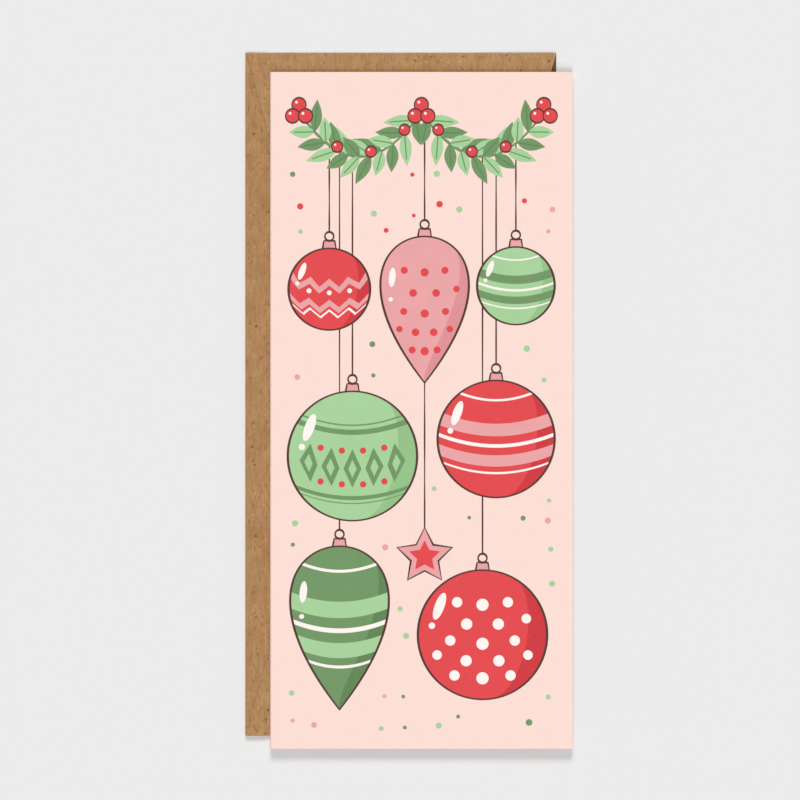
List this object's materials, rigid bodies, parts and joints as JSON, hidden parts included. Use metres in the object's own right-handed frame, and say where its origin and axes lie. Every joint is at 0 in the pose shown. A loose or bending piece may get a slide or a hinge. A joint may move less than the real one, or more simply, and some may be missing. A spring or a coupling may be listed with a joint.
{
  "type": "money holder card",
  "caption": "Slim folded greeting card with a glued inside pocket for banknotes, lying on its kraft envelope, whose seal flap turns on a long edge.",
  "frame": {"origin": "on the table, under the middle of the whole set's outline", "axes": "+X to the right across the card's front, +Y up the front, +Z off the table"},
  "size_m": [0.0962, 0.2046, 0.0034],
  "materials": {
    "card_stock": "matte",
    "kraft_paper": "matte",
    "paper_glue": "satin",
    "dry_gum": "satin"
  },
  "bodies": {
    "envelope": {"envelope_face": "kraft_paper", "envelope_left_fold": "kraft_paper", "envelope_back": "kraft_paper", "envelope_upper_end_flap": "kraft_paper", "envelope_lower_end_flap": "kraft_paper", "envelope_upper_end_fold": "kraft_paper", "envelope_lower_end_fold": "kraft_paper", "envelope_upper_seam_glue": "paper_glue", "envelope_lower_seam_glue": "paper_glue", "envelope_seal_flap_fold": "kraft_paper"},
    "seal_flap": {"envelope_seal_flap": "kraft_paper", "seal_gum_strip": "dry_gum"},
    "card": {"card_back_panel": "card_stock", "card_spine_fold": "card_stock", "pocket_panel": "card_stock", "pocket_bottom_fold": "card_stock", "pocket_left_tab": "card_stock", "pocket_right_tab": "card_stock", "pocket_left_tab_fold": "card_stock", "pocket_right_tab_fold": "card_stock", "pocket_left_glue": "paper_glue", "pocket_right_glue": "paper_glue"},
    "cover": {"card_front_cover": "card_stock"}
  },
  "joints": [
    {"name": "card_lift", "type": "slide", "parent": "envelope", "child": "card", "axis": [0, 0, 1], "range_m": [0, 0.06]},
    {"name": "cover_open", "type": "hinge", "parent": "card", "child": "cover", "pos_m": [-0.0408, -0.00287, 0.00249], "axis": [0, -1, 0], "range_deg": [0, 178], "deforming": ["card_spine_fold"]},
    {"name": "seal_flap_open", "type": "hinge", "parent": "envelope", "child": "seal_flap", "pos_m": [0.0433, 0.00187, 0.00028], "axis": [0, -1, 0], "range_deg": [0, 178], "deforming": ["envelope_seal_flap_fold"]}
  ]
}
